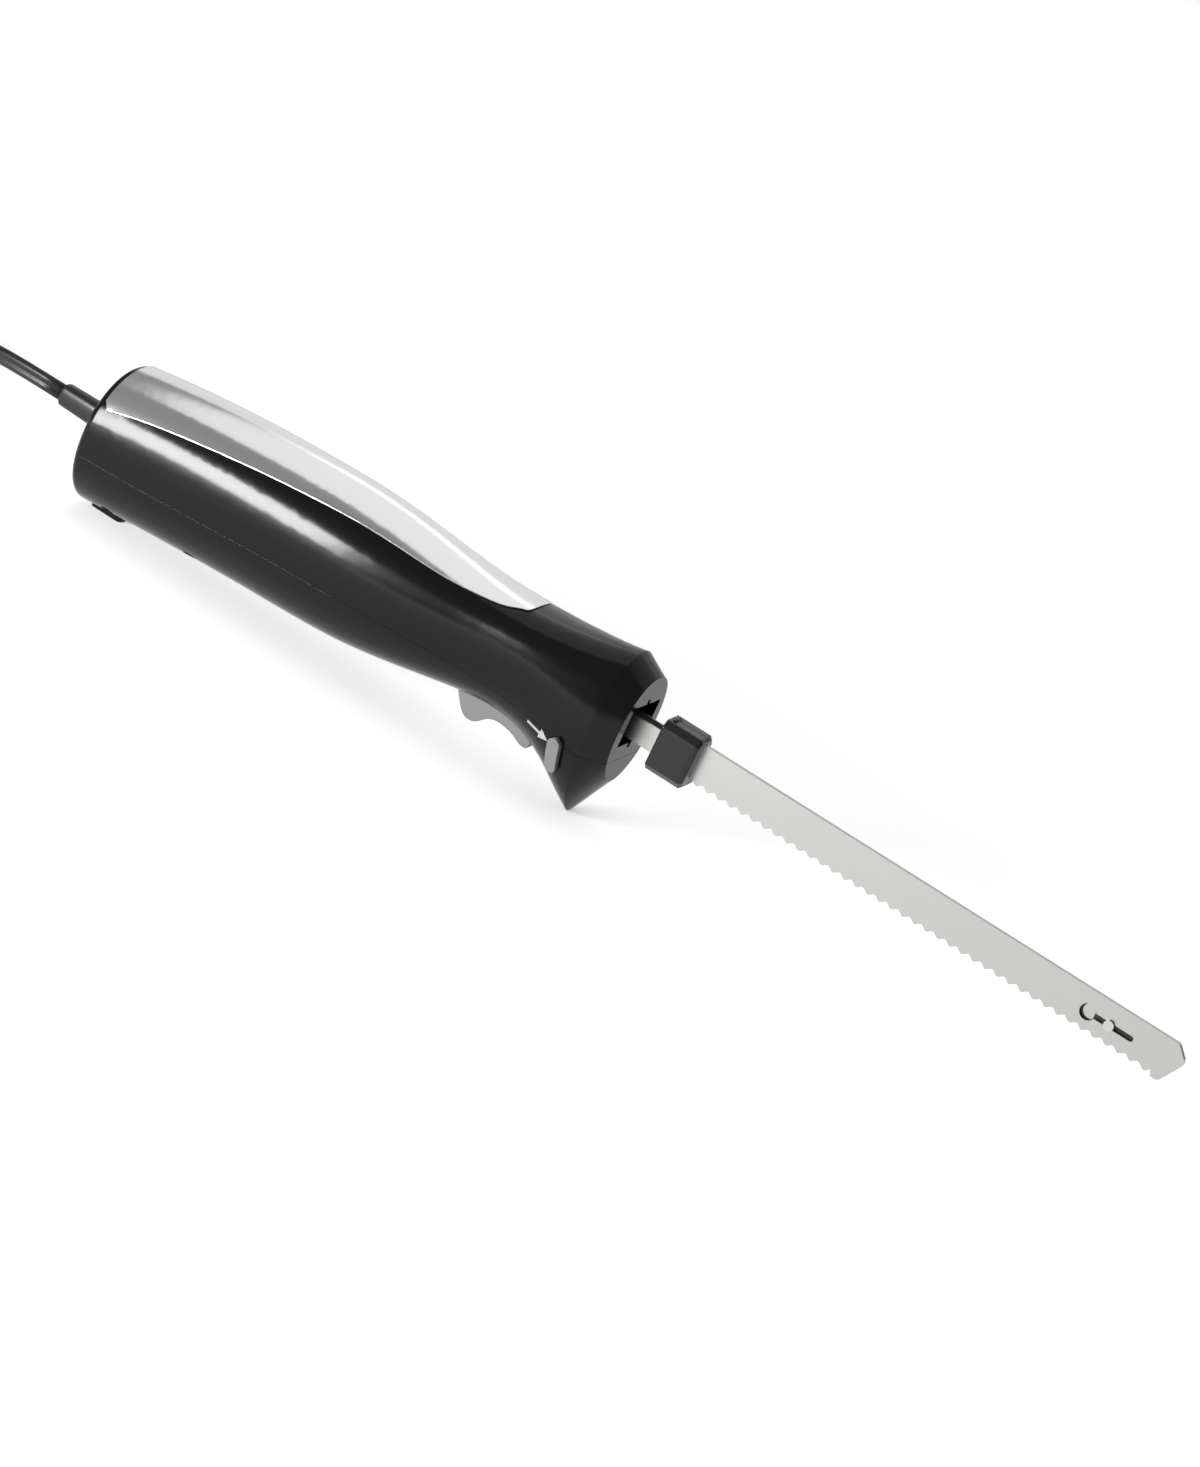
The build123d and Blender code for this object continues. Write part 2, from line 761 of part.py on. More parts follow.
def make_fan():
    x0 = core_x + core_length / 2 + coil_overhang + motor_step
    disc = rod_x(fan_radius, x0, x0 + fan_thickness, 0, motor_z)
    hub = rod_x(fan_hub_radius, x0, x0 + fan_thickness + fan_blade_length, 0, motor_z)
    vanes = []
    low = fan_hub_radius - fan_blade_thickness
    reach = fan_radius - fan_blade_thickness / 2 - low
    for i in range(fan_blades):
        vane = Pos(x0 + (fan_thickness + fan_blade_length) / 2, 0, low + reach / 2)
        vane = vane * Box(fan_thickness + fan_blade_length - seat_gap, fan_blade_thickness, reach)
        vanes.append(Pos(0, 0, motor_z) * Rot(360 * i / fan_blades, 0, 0) * vane)
    bore = rod_x(shaft_radius, x0 - overrun, x0 + overrun, 0, motor_z)
    return disc.fuse(hub, *vanes).cut(bore)


def make_bearing(x):
    ring = rod_x(bearing_radius, x - bearing_thickness / 2, x + bearing_thickness / 2, 0, motor_z)
    return ring.cut(rod_x(shaft_radius + bush_play, x - overrun, x + overrun, 0, motor_z))


def brush_parts():
    holders = []
    brushes = []
    springs = []
    x0 = brush_x - brush_width / 2
    x1 = brush_x + brush_width / 2
    z0 = motor_z - brush_height / 2
    z1 = motor_z + brush_height / 2
    for side in (-1, 1):
        face = side * (commutator_radius + brush_gap)
        end = face + side * brush_length
        holder_start = face + side * motor_step / 2
        holder_end = holder_start + side * holder_length
        brushes.append(block(x0, x1, face, end, z0, z1))
        outside = block(
            x0 - holder_wall,
            x1 + holder_wall,
            holder_start,
            holder_end,
            z0 - holder_wall,
            z1 + holder_wall)
        inside = block(x0, x1, holder_start, holder_end - side * holder_wall, z0, z1)
        holders.append(outside.cut(inside))
        spring = rod_y(brush_width / 2 - seat_gap, end, holder_end - side * holder_wall, brush_x, motor_z)
        springs.append(spring.cut(rod_y(brush_width / 4, end, holder_end, brush_x, motor_z)))
    return holders, brushes, springs


def make_trigger():
    """Finger trigger: scooped lever, pad inside the shell, rear lip and a bored pivot boss."""
    rear = trigger_front_x - trigger_length
    spread = trigger_top - trigger_low
    points = [
        (trigger_front_x - a * trigger_length, trigger_low + b * spread)
        for a, b in zip(trigger_x_shares, trigger_z_shares)]
    corners = points + [(trigger_front_x, trigger_top), (rear, trigger_top)]
    lever = side_plate(corners, trigger_half_width, len(points))
    half = trigger_half_width
    pad = block(rear, trigger_pivot_x, -half, half, trigger_top - wall, pad_top)
    lip = block(rear - trigger_lip_length, rear + wall, -half, half, trigger_top, pad_top)
    boss = rod_y(trigger_boss_radius, -half, half, trigger_pivot_x, trigger_pivot_height)
    neck = block(
        trigger_pivot_x - trigger_boss_radius,
        trigger_pivot_x + trigger_boss_radius,
        -half,
        half,
        trigger_top - wall,
        trigger_pivot_height)
    bore_radius = trigger_pin_radius + bush_play
    bore = rod_y(bore_radius, -body_width, body_width, trigger_pivot_x, trigger_pivot_height)
    return lever.fuse(pad, lip, boss, neck).cut(bore)


def trigger_opening():
    """The slot in the lower shell that the trigger comes through."""
    half = trigger_half_width + trigger_gap
    rear = trigger_front_x - trigger_length - trigger_rear_gap
    return block(rear, trigger_front_x + trigger_gap, -half, half, 0, trigger_pivot_height)


def pill(x, z, half_width, half_height, y0, y1):
    """An upright pill shape pushed from y0 to y1, tilted like the handle's flank."""
    straight = half_height - half_width
    low, high = sorted((y0, y1))
    core = Box(2 * half_width, high - low, 2 * straight)
    ends = [Pos(0, 0, way * straight) * Rot(90, 0, 0) * Cylinder(half_width, high - low) for way in (-1, 1)]
    return Pos(x, (low + high) / 2, z) * Rot(0, -release_tilt, 0) * core.fuse(*ends)


def make_release(side, proud_form):
    """Side button: a pill through the flank, a flange inside and an arm up to the latch."""
    y_in = side * release_inner_y
    button = pill(release_x, release_height, release_half_width, release_half_height, y_in, side * body_width)
    button = common(button, proud_form)
    flange = pill(
        release_x,
        release_height,
        release_half_width + release_flange,
        release_half_height + release_flange,
        y_in,
        y_in + side * release_flange_thickness)
    arm = block(
        release_x - release_arm_half,
        release_x + release_arm_half,
        y_in,
        y_in + side * release_flange_thickness,
        release_height,
        release_arm_top)
    finger = block(
        release_x - release_finger_half,
        release_x + release_finger_half,
        y_in - side * release_finger,
        y_in,
        release_arm_top - 2 * release_arm_half,
        release_arm_top)
    return button.fuse(flange, arm, finger)


def make_relief():
    """Strain relief: a ribbed block outside the rear wall and a flange inside it."""
    wires = []
    for x, height, width in (
            (relief_end_x, relief_end_height, relief_end_width),
            (rear_x + wall, relief_height, relief_width)):
        plane = Plane(origin=(x, 0, cord_height), x_dir=(0, 1, 0), z_dir=(1, 0, 0))
        wires.append((plane * RectangleRounded(width, height, relief_round)).wire())
    sleeve = Solid.make_loft(wires, True)
    cuts = []
    for share in groove_shares:
        x = relief_end_x + relief_length * share
        ring = block(x, x + groove_width, -body_width, body_width, 0, body_height)
        core = block(
            x,
            x + groove_width,
            -relief_end_width / 2 + groove_depth,
            relief_end_width / 2 - groove_depth,
            0,
            body_height)
        cuts.append(ring.cut(core))
    sleeve = sleeve.cut(*cuts)
    x0 = rear_x + wall
    flange = block(
        x0,
        x0 + relief_flange,
        -relief_width / 2 - relief_flange,
        relief_width / 2 + relief_flange,
        cord_height - relief_height / 2 - relief_flange,
        cord_height + relief_height / 2 + relief_flange)
    return sleeve.fuse(flange)


# The cord's free stretch, from the strain relief to the tied hank: points chosen by hand
cord_route = [
    (relief_end_x, 0, cord_height),
    (-302, 0, cord_height),
    (-324, 11, 24),
    (-343, 31, 9.5),
    (-365, 39.25, 4.5),
    (-386, 39.25, 4.5)]


def corner_radii(route):
    radii = []
    for a, b, c in zip(route, route[1:], route[2:]):
        into = Vector(*b) - Vector(*a)
        out = Vector(*c) - Vector(*b)
        turn = math.radians(into.get_angle(out))
        radii.append(corner_share * min(into.length, out.length) / math.tan(turn / 2))
    return radii


def make_cord():
    radii = corner_radii(cord_route)
    print("cord radii", [round(r, 1) for r in radii])
    path = FilletPolyline(*cord_route, radius=radii)
    plane = Plane(origin=cord_route[0], z_dir=(-1, 0, 0))
    tube = sweep(plane * Circle(cord_diameter / 2), path=path)
    area = math.pi * (cord_diameter / 2) ** 2
    print("cord length", round(path.length, 1), "volume share", round(tube.volume / (area * path.length), 4))
    return tube, path.length


def bent_run(a, b, heading):
    """A straight run of the hank, or where it shifts sideways two arcs that meet halfway."""
    shift = (b - a) - heading * (b - a).dot(heading)
    if shift.length < seat_gap:
        return [Line(a, b)]
    middle = (a + b) * 0.5
    first = TangentArc(a, middle, tangent=heading)
    return [first, TangentArc(middle, b, tangent=first % 1)]


def make_hank():
    """The bundled cord: one tube folded to and fro in three layers, with a tail to the plug."""
    here = Vector(*cord_route[-1])
    front_x = here.X
    back_x = front_x - hank_run
    low = cord_diameter / 2 + hank_lift
    edges = []
    for i, (step, layer) in enumerate(hank_places):
        side = -1 if i % 2 else 1
        x = front_x if i % 2 else back_x
        reach = hank_outer - step * hank_pitch
        z = low + layer * hank_pitch
        there = Vector(x, side * reach, z)
        edges = edges + bent_run(here, there, Vector(-side, 0, 0))
        here = Vector(x, -side * reach, z)
        edges.append(ThreePointArc(there, Vector(x - side * reach, 0, z), here))
    rise = cord_diameter / 2 + plug_rest + plug_thickness / 2
    end = here + Vector(hank_tail, 0, rise)
    edges = edges + bent_run(here, end, Vector(1, 0, 0))
    path = Wire(edges)
    plane = Plane(origin=cord_route[-1], z_dir=(-1, 0, 0))
    tube = sweep(plane * Circle(cord_diameter / 2), path=path)
    samples = []
    for edge in edges:
        samples = samples + [edge @ (i / samples_per_edge) for i in range(samples_per_edge)]
    print("hank length", round(path.length, 1), "gap to itself", round(least_gap(samples) - cord_diameter, 2))
    area = math.pi * (cord_diameter / 2) ** 2
    print("volume share", round(tube.volume / (area * path.length), 4))
    return tube, path.length, end


def least_gap(samples):
    """Least distance between the middle line and itself, beyond a short way along it."""
    least = hank_run
    run = [0]
    for a, b in zip(samples, samples[1:]):
        run.append(run[-1] + (b - a).length)
    for i, a in enumerate(samples):
        for j in range(i + 1, len(samples)):
            if run[j] - run[i] > gap_from:
                least = min(least, (samples[j] - a).length)
    return least


def make_tie():
    """Band round the strands on one side of the hank."""
    centre_x = cord_route[-1][0] - hank_run / 2
    half = hank_pitch / 2 + cord_diameter / 2 + tie_side_gap
    y0 = hank_outer - half
    y1 = hank_outer + half
    z0 = hank_lift - tie_gap
    z1 = hank_lift + cord_diameter + 2 * hank_pitch + tie_gap
    t = tie_thickness
    band = block(centre_x - tie_width / 2, centre_x + tie_width / 2, y0 - t, y1 + t, z0 - t, z1 + t)
    hole = block(centre_x - tie_width, centre_x + tie_width, y0, y1, z0, z1)
    return band.cut(hole)


def make_plug(end):
    """Two-pin plug lying flat on the hank."""
    x0 = end.X + plug_nose_length
    back = Plane(origin=end, x_dir=(0, 1, 0), z_dir=(1, 0, 0))
    middle = Plane(origin=(x0, end.Y, end.Z), x_dir=(0, 1, 0), z_dir=(1, 0, 0))
    neck = cord_diameter + plug_round
    small = (back * RectangleRounded(neck, neck, plug_round)).wire()
    large = (middle * RectangleRounded(plug_width, plug_thickness, plug_round)).wire()
    nose = Solid.make_loft([small, large], True)
    body = extrude(make_face(large), amount=plug_length - plug_nose_length, dir=(1, 0, 0))
    plug = nose.fuse(body)
    front = end.X + plug_length
    prongs = []
    for way in (-1, 1):
        y = end.Y + way * prong_spacing / 2
        prongs.append(block(
            front - prong_seat,
            front + prong_length,
            y - prong_thickness / 2,
            y + prong_thickness / 2,
            end.Z - prong_height / 2,
            end.Z + prong_height / 2))
    return plug.cut(*prongs), prongs


def make_screws():
    screws = []
    for from_nose in screw_places_from_nose:
        for side in (-1, 1):
            x = nose_x - from_nose
            y = side * screw_side
            seat = screw_seat_height
            head = rod_z(screw_head_radius, seat - screw_head_height, seat, x, y)
            shank = rod_z(screw_radius, seat, seat + screw_length, x, y)
            low = seat - screw_head_height
            cross = block(x - screw_head_radius / 2, x + screw_head_radius / 2, y - screw_socket_radius / 2,
                          y + screw_socket_radius / 2, low, low + screw_socket_depth)
            other = block(x - screw_socket_radius / 2, x + screw_socket_radius / 2, y - screw_head_radius / 2,
                          y + screw_head_radius / 2, low, low + screw_socket_depth)
            screws.append(head.fuse(shank).cut(cross, other))
    return screws


def screw_columns():
    """Bosses for the case screws, and the holes that go through them."""
    columns = []
    holes = []
    for from_nose in screw_places_from_nose:
        for side in (-1, 1):
            x = nose_x - from_nose
            y = side * screw_side
            columns.append(rod_z(boss_radius, 0, body_height, x, y))
            holes.append(rod_z(screw_head_radius + seat_gap, -overrun, screw_seat_height, x, y))
            holes.append(rod_z(screw_radius + seat_gap, 0, screw_seat_height + screw_length + seat_gap, x, y))
    return columns, holes


def motor_ribs():
    """Plates inside the shells that seat the frame, the motor, the brushes and the rear bearing."""
    rear_of_frame = front_bearing_x - bearing_thickness / 2
    half = core_length / 2
    places = (
        (rear_of_frame - rib_thickness, shaft_radius + 2 * running_gap),
        (core_x + half - rib_inset - rib_thickness, core_radius),
        (core_x - half + rib_inset, core_radius),
        (brush_x - brush_width / 2 - holder_wall - seat_gap - rib_thickness, commutator_radius + 2 * running_gap),
        (rear_bearing_x - rib_thickness / 2, bearing_radius))
    ribs = []
    for x, bore in places:
        slab = block(x, x + rib_thickness, -body_width, body_width, -overrun, body_height + overrun)
        hole = rod_x(bore, x, x + rib_thickness, 0, motor_z)
        if bore == core_radius:
            flat = block(
                x,
                x + rib_thickness,
                -body_width,
                body_width,
                motor_z - core_half_height,
                motor_z + core_half_height)
            hole = common(hole, flat)
        ribs.append(slab.cut(hole))
    return ribs


def trigger_lugs():
    lugs = []
    inside = trigger_half_width + trigger_gap
    for side in (-1, 1):
        lugs.append(block(
            trigger_pivot_x - lug_height,
            trigger_pivot_x + lug_height,
            side * inside,
            side * (inside + lug_thickness),
            0,
            trigger_pivot_height + lug_height))
    return lugs


def make_capacitor():
    x = nose_x - capacitor_from_nose
    half = capacitor_width / 2
    z1 = capacitor_seat + capacitor_height
    box = block(x - capacitor_length / 2, x + capacitor_length / 2, -half, half, capacitor_seat, z1)
    return fillet(box.edges().filter_by(Axis.Z), capacitor_width / 6)


def make_leads():
    """Two insulated wires from the cord's end to the suppression capacitor."""
    x0 = rear_x + wall + relief_flange
    x1 = nose_x - capacitor_from_nose - capacitor_length / 2
    low = capacitor_seat + capacitor_height / 2
    leads = []
    for side in (-1, 1):
        y = side * lead_spacing / 2
        route = [
            (x0, y, cord_height),
            (x0 + lead_step, y, cord_height),
            (x1 - lead_step / 2, y, low),
            (x1, y, low)]
        path = FilletPolyline(*route, radius=[lead_bend / 2, lead_bend / 2])
        plane = Plane(origin=route[0], z_dir=(1, 0, 0))
        leads.append(sweep(plane * Circle(lead_radius), path=path))
    return leads


# Shells, split along the seam, with everything that is cut from them or stands inside
outer = handle_form(0)
rear_edges = outer.faces().sort_by(Axis.X)[0].edges()
outer = fillet(rear_edges, rear_round)
floor_cut = block(rear_x - overrun, tip_x, -body_width, body_width, -overrun, 0)
pad_x = rear_x + pad_margin
pad = block(pad_x, pad_x + pad_length, -pad_half_width, pad_half_width, 0, pad_height)
pad = fillet(pad.edges().filter_by(Axis.Z), pad_round)
outer = outer.fuse(pad).cut(floor_cut)
inner = handle_form(wall, wall, nose_wall)
columns, holes = screw_columns()
lugs = trigger_lugs()
seat_x = nose_x - capacitor_from_nose
seat = block(
    seat_x - capacitor_length / 2,
    seat_x + capacitor_length / 2,
    -capacitor_width / 2,
    capacitor_width / 2,
    0,
    capacitor_seat)
post = block(
    release_x - release_spring_radius,
    release_x + release_spring_radius,
    -release_post_half,
    release_post_half,
    0,
    release_post_top)
cavity = inner.cut(*motor_ribs(), *columns, *lugs, seat, post)
mouth = block(
    nose_x - 2 * nose_wall,
    nose_x + overrun,
    -mouth_half_width,
    mouth_half_width,
    mouth_low,
    mouth_high)
notch = block(
    nose_x - 2 * nose_wall,
    nose_x + overrun,
    -mouth_notch_half,
    mouth_notch_half,
    mouth_low - mouth_notch,
    mouth_high + mouth_notch)
pin_reach = trigger_half_width + trigger_gap + lug_thickness
pin_hole = rod_y(trigger_pin_radius, -pin_reach, pin_reach, trigger_pivot_x, trigger_pivot_height)
pills = pill(
    release_x,
    release_height,
    release_half_width + running_gap,
    release_half_height + running_gap,
    -body_width,
    body_width)
pills = pills.cut(block(tang_back, nose_x, -release_inner_y, release_inner_y, 0, body_height))
relief = make_relief()
relief_hole = block(
    rear_x - overrun,
    rear_x + wall,
    -relief_width / 2,
    relief_width / 2,
    cord_height - relief_height / 2,
    cord_height + relief_height / 2)
trim_seat = handle_form(trim_depth)
trim_face = handle_form(-trim_proud)
trim_region = region_above_trim(0)
recess = common(outer, region_above_trim(trim_gap)).cut(trim_seat)
shell = outer.cut(cavity)
shell = shell.cut(mouth, notch, pin_hole, *pills.solids(), relief_hole, *holes)
lower_region = region_below_seam(seam_gap)
upper_region = region_below_seam(0)
upper = shell.cut(upper_region, recess)
lower = common(shell, lower_region).cut(trigger_opening())
print("upper solids", [round(s.volume) for s in upper.solids()])
print("lower solids", [round(s.volume) for s in lower.solids()])
write("upper_housing", upper.solids().sort_by(SortBy.VOLUME)[-1])
write("lower_housing", lower.solids().sort_by(SortBy.VOLUME)[-1])
write("top_trim", common(trim_face, trim_region).cut(handle_form(trim_depth - trim_gap)))

# Blades, finger guard and the rivet that ties the tips
for side, name in ((1, "left"), (-1, "right")):
    sheet = make_blade(side)
    write(f"{name}_blade", sheet)
    write(f"{name}_guard", make_collar(side, sheet))
    write(f"{name}_shuttle", make_shuttle(side))
    write(f"{name}_latch", make_latch(side))
    write(f"{name}_eccentric", make_eccentric(side))
write("tip_rivet", make_rivet())

# Gearbox
write("drive_gear", make_gear())
axle_reach = frame_inner + frame_thickness
write("gear_axle", rod_y(axle_radius, -axle_reach, axle_reach, drive_x, drive_z))
write("gearbox_frame", make_frame())
write("gear_bushes", make_bushes())
write("worm", make_worm())

# Motor
write("field_core", make_field_core())
write("field_coils", make_field_coils())
write("armature_core", make_armature_core())
write("armature_winding", make_winding())
write("commutator", make_commutator())
write("cooling_fan", make_fan())
write("front_bearing", make_bearing(front_bearing_x))
write("rear_bearing", make_bearing(rear_bearing_x))
shaft_front = drive_x + worm_length / 2 + shaft_end
shaft_rear = rear_bearing_x - bearing_thickness / 2 - shaft_end
write("motor_shaft", rod_x(shaft_radius, shaft_rear, shaft_front, 0, motor_z))
holders, brushes, brush_springs = brush_parts()
write("brush_holders", holders)
write("carbon_brushes", brushes)
write("brush_springs", brush_springs)

# Trigger and switch
write("trigger", make_trigger())
write("trigger_pin", rod_y(trigger_pin_radius, -pin_reach, pin_reach, trigger_pivot_x, trigger_pivot_height))
spring_x = nose_x - trigger_spring_from_nose
spring = rod_z(trigger_spring_radius, pad_top, switch_bottom, spring_x, 0)
spring = spring.cut(rod_z(trigger_spring_radius - spring_wall, pad_top, switch_bottom, spring_x, 0))
write("trigger_spring", spring)
switch_x1 = nose_x - switch_from_nose
switch = block(
    switch_x1 - switch_length,
    switch_x1,
    -switch_half_width,
    switch_half_width,
    switch_bottom,
    switch_top)
plunger_bore = plunger_half + running_gap
plunger_top = plunger_foot + plunger_length
plunger_hole = block(
    plunger_x - plunger_bore,
    plunger_x + plunger_bore,
    -plunger_bore,
    plunger_bore,
    switch_bottom,
    plunger_top + plunger_room)
write("switch_body", switch.cut(plunger_hole))
write("switch_plunger", block(
    plunger_x - plunger_half,
    plunger_x + plunger_half,
    -plunger_half,
    plunger_half,
    plunger_foot,
    plunger_top))

# Release buttons and their springs
proud_form = handle_form(-release_proud)
springs = []
for side, name in ((1, "left"), (-1, "right")):
    write(f"{name}_release_button", make_release(side, proud_form))
    tube = rod_y(
        release_spring_radius,
        side * release_post_half,
        side * release_inner_y,
        release_x,
        release_height)
    springs.append(tube.cut(rod_y(
        release_spring_radius - spring_wall,
        side * release_post_half,
        side * release_inner_y,
        release_x,
        release_height)))
write("release_springs", springs)

# Rear fittings, screws and cord
write("strain_relief", relief)
clamp_x = rear_x + wall + relief_flange
clamp = block(
    clamp_x,
    clamp_x + clamp_thickness,
    -clamp_half_width,
    clamp_half_width,
    cord_height - clamp_half_height,
    cord_height + clamp_half_height)
write("cord_clamp", clamp.cut(rod_x(clamp_bore, clamp_x, clamp_x + clamp_thickness, 0, cord_height)))
write("capacitor", make_capacitor())
write("lead_wires", make_leads())
write("case_screws", make_screws())
cord, cord_run = make_cord()
hank, hank_length, hank_end = make_hank()
print("whole cord", round(cord_run + hank_length, 1))
write("cord", cord)
write("cord_coil", hank)
write("cord_tie", make_tie())
plug, prongs = make_plug(hank_end)
write("plug_body", plug)
write("plug_prongs", prongs)
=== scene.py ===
import json
import math

import bpy
from mathutils import Matrix, Vector
from mathutils.bvhtree import BVHTree
from mathutils.geometry import convex_hull_2d


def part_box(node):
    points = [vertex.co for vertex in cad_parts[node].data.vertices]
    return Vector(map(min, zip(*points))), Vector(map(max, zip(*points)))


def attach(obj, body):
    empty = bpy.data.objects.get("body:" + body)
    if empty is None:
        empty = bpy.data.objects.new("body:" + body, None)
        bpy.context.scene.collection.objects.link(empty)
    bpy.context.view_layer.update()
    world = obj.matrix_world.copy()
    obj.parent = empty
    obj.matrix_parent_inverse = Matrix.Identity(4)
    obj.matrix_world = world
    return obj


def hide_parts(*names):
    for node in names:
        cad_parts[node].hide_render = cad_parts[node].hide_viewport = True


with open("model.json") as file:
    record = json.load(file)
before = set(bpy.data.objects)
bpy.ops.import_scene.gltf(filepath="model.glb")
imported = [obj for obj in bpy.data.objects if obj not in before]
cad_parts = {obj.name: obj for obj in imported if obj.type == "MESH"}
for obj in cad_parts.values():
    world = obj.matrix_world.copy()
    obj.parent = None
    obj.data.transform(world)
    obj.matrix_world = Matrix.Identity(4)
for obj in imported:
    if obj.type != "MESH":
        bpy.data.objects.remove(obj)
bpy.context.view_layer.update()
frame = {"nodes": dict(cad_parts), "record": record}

# Places are in metres: +X to the blade tips, +Z up, and -Y is the side that the camera sees

# The photograph's frame and the one point of the knife that fixes the camera in it
IMAGE_SIZE = (1200, 1467)
FOCAL_PIXELS = 3490
ANCHOR_PIXEL = (640, 725)
ANCHOR_POINT = Vector((0.00675, 0, 0.0438))
ANCHOR_DISTANCE = 1.285
CAMERA_RIGHT = Vector((0.806, 0.438, 0.397))
CAMERA_BACK = Vector((0.297, -0.880, 0.370))
SENSOR = 36.0
CLIP_START = 0.01
CLIP_END = 50


def make_camera():
    """Camera at the photograph's viewing angle, placed from one point and its pixel."""
    back = CAMERA_BACK.normalized()
    right = (CAMERA_RIGHT - back * CAMERA_RIGHT.dot(back)).normalized()
    up = back.cross(right)
    across = (ANCHOR_PIXEL[0] - IMAGE_SIZE[0] / 2) / FOCAL_PIXELS
    above = (IMAGE_SIZE[1] / 2 - ANCHOR_PIXEL[1]) / FOCAL_PIXELS
    place = ANCHOR_POINT + ANCHOR_DISTANCE * (back - right * across - up * above)
    data = bpy.data.cameras.new("camera")
    data.sensor_width = SENSOR
    data.lens = FOCAL_PIXELS * SENSOR / IMAGE_SIZE[1]
    data.clip_start = CLIP_START
    data.clip_end = CLIP_END
    camera = bpy.data.objects.new("camera", data)
    bpy.context.scene.collection.objects.link(camera)
    camera.matrix_world = Matrix((
        (right.x, up.x, back.x, place.x),
        (right.y, up.y, back.y, place.y),
        (right.z, up.z, back.z, place.z),
        (0, 0, 0, 1)))
    bpy.context.scene.camera = camera


# Meshes


def add_piece(name, verts, faces):
    mesh = bpy.data.meshes.new(name)
    mesh.from_pydata(verts, [], faces)
    mesh.update()
    piece = bpy.data.objects.new(name, mesh)
    bpy.context.scene.collection.objects.link(piece)
    return piece


def smooth(piece, flat_ends=0):
    """Shades a piece smooth, apart from its last faces."""
    polygons = piece.data.polygons
    for polygon in polygons[:len(polygons) - flat_ends]:
        polygon.use_smooth = True


def ring_faces(ring_count, count, looped=False):
    """Faces between rings of points: the last ring joins the first, or both ends are capped."""
    faces = []
    for r in range(ring_count if looped else ring_count - 1):
        a = r * count
        b = (r + 1) % ring_count * count
        for k in range(count):
            j = (k + 1) % count
            faces.append((a + k, a + j, b + j, b + k))
    if not looped:
        last = (ring_count - 1) * count
        faces.append(tuple(reversed(range(count))))
        faces.append(tuple(last + k for k in range(count)))
    return faces


# Materials

BUMP_DISTANCE = 0.0002
BEVEL_SAMPLES = 6
ROUGHNESS_LOW = 0.9
ROUGHNESS_HIGH = 1.1


def make_material(
        name, colour, roughness, metallic=0.0, specular=0.5,
        grain=0.0, scale=400.0, round_edge=0.0, stretch=1.0):
    """A procedural material: roughness that varies a little, a faint bump and softened edges."""
    material = bpy.data.materials.new(name)
    material.use_nodes = True
    nodes = material.node_tree.nodes
    links = material.node_tree.links
    shader = nodes["Principled BSDF"]
    shader.inputs["Base Color"].default_value = (*colour, 1)
    shader.inputs["Metallic"].default_value = metallic
    shader.inputs["Specular IOR Level"].default_value = specular
    place = nodes.new("ShaderNodeTexCoord")
    noise = nodes.new("ShaderNodeTexNoise")
    noise.inputs["Scale"].default_value = scale
    drawn_out = nodes.new("ShaderNodeMapping")
    drawn_out.inputs["Scale"].default_value = (stretch, 1, 1)
    links.new(place.outputs["Object"], drawn_out.inputs["Vector"])
    links.new(drawn_out.outputs["Vector"], noise.inputs["Vector"])
    spread = nodes.new("ShaderNodeMapRange")
    spread.inputs["To Min"].default_value = roughness * ROUGHNESS_LOW
    spread.inputs["To Max"].default_value = roughness * ROUGHNESS_HIGH
    links.new(noise.outputs["Fac"], spread.inputs["Value"])
    links.new(spread.outputs["Result"], shader.inputs["Roughness"])
    bump = nodes.new("ShaderNodeBump")
    bump.inputs["Strength"].default_value = grain
    bump.inputs["Distance"].default_value = BUMP_DISTANCE
    links.new(noise.outputs["Fac"], bump.inputs["Height"])
    if round_edge:
        bevel = nodes.new("ShaderNodeBevel")
        bevel.samples = BEVEL_SAMPLES
        bevel.inputs["Radius"].default_value = round_edge
        links.new(bevel.outputs["Normal"], bump.inputs["Normal"])
    links.new(bump.outputs["Normal"], shader.inputs["Normal"])
    return material


